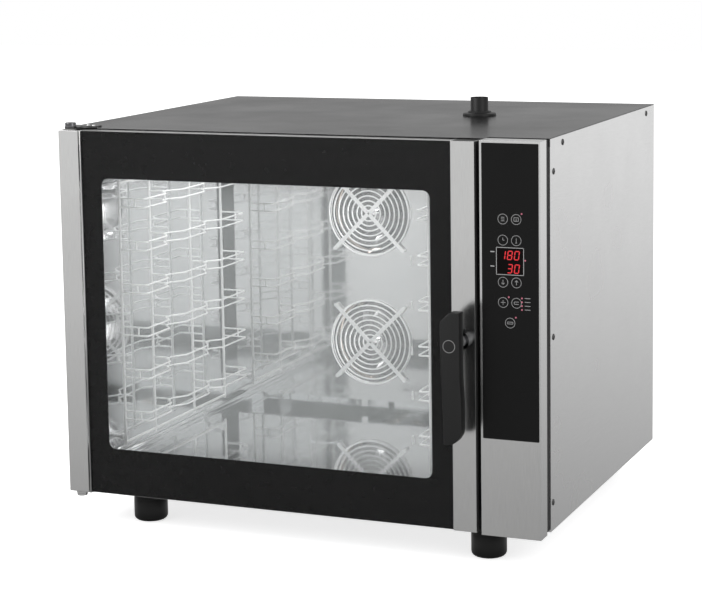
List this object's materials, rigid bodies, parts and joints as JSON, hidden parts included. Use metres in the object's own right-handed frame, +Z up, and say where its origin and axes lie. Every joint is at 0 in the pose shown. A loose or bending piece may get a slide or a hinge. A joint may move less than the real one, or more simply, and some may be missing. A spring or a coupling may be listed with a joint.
{
  "type": "combi steamer oven",
  "caption": "Counter-top combi steamer oven: glass door on side hinges, turning latch handle, touch panel, wire tray racks, fans behind a baffle.",
  "frame": {"origin": "on the floor under the middle of the whole oven, feet, handle and pipe ends included", "axes": "+X to the right seen from the front, +Y from the door to the back, +Z up"},
  "size_m": [0.934, 0.858, 0.787],
  "materials": {
    "satin_steel": "satin ground stainless sheet",
    "top_steel": "satin stainless sheet",
    "mirror_steel": "bright polished stainless",
    "wire": "electropolished stainless wire",
    "galvanised": "plain sheet",
    "black_coat": "black printed film",
    "black_print": "black enamel fired on the glass",
    "clear_glass": "clear toughened glass",
    "smoked_window": "smoked display window",
    "handle_black": "fine-grained black moulding",
    "foot_black": "black moulding",
    "gasket": "silicone rubber",
    "wool": "mineral wool",
    "motor_grey": "grey enamel",
    "shaft_steel": "turned steel",
    "element_steel": "heat-tinted steel",
    "fan_steel": "pressed steel",
    "board_green": "circuit board",
    "bush_nylon": "white nylon",
    "valve_white": "white moulding",
    "brass_thread": "plain brass",
    "lamp_glass": "frosted glass",
    "screw_dark": "darkened steel screw"
  },
  "bodies": {
    "cabinet": {"base_pan": "galvanised", "top_panel": "top_steel", "side_panel_left": "satin_steel", "side_panel_right": "satin_steel", "rack_left": "wire", "rack_right": "wire", "back_panel": "galvanised", "front_frame": "satin_steel", "cavity_liner": "mirror_steel", "insulation": "wool", "door_gasket": "gasket", "baffle_plate": "mirror_steel", "fan_guard_lower": "wire", "fan_guard_upper": "wire", "heating_element_lower": "element_steel", "heating_element_upper": "element_steel", "motor_lower": "motor_grey", "motor_upper": "motor_grey", "rack_pegs": "wire", "drain_strainer": "mirror_steel", "drain_pipe": "satin_steel", "steam_injector": "satin_steel", "cavity_lamp": "lamp_glass", "vent_pipe": "handle_black", "vent_ring": "handle_black", "vent_actuator": "valve_white", "water_valve": "valve_white", "cable_gland": "foot_black", "bonding_stud": "brass_thread", "front_feet": "foot_black", "rear_feet": "foot_black", "control_box": "satin_steel", "control_membrane": "black_coat", "display_window": "smoked_window", "control_board": "board_green", "control_spacer": "gasket", "power_board": "board_green", "hinge_bracket_top": "screw_dark", "hinge_bracket_bottom": "satin_steel", "latch_keeper": "satin_steel", "side_screws": "screw_dark"},
    "door": {"door_profile_left": "satin_steel", "door_profile_right": "satin_steel", "door_rails": "satin_steel", "door_glass_outer": "clear_glass", "door_glass_print": "black_print", "door_frame_inner": "satin_steel", "door_glass_inner": "clear_glass", "door_end_caps": "foot_black", "door_edge_seal": "gasket", "hinge_bushes": "bush_nylon", "handle_rosette": "shaft_steel"},
    "handle": {"handle_lever": "handle_black", "handle_spindle": "shaft_steel", "latch_cam": "shaft_steel"},
    "fan_lower": {"fan_shaft_lower": "shaft_steel", "impeller_lower": "fan_steel"},
    "fan_upper": {"fan_shaft_upper": "shaft_steel", "impeller_upper": "fan_steel"},
    "vent_damper": {"vent_flap": "fan_steel"}
  },
  "joints": [
    {"name": "door_hinge", "type": "hinge", "parent": "cabinet", "child": "door", "pos_m": [-0.451, -0.343, 0.407], "axis": [0, 0, -1], "range_deg": [0, 120]},
    {"name": "handle_turn", "type": "hinge", "parent": "door", "child": "handle", "pos_m": [0.323, -0.363, 0.406], "axis": [0, 1, 0], "range_deg": [0, 90]},
    {"name": "fan_lower_spin", "type": "hinge", "parent": "cabinet", "child": "fan_lower", "pos_m": [-0.082, 0.257, 0.265], "axis": [0, 1, 0], "continuous": true},
    {"name": "fan_upper_spin", "type": "hinge", "parent": "cabinet", "child": "fan_upper", "pos_m": [-0.082, 0.257, 0.533], "axis": [0, 1, 0], "continuous": true},
    {"name": "vent_damper_turn", "type": "hinge", "parent": "cabinet", "child": "vent_damper", "pos_m": [0.205, 0.075, 0.722], "axis": [1, 0, 0], "range_deg": [0, 90]}
  ]
}
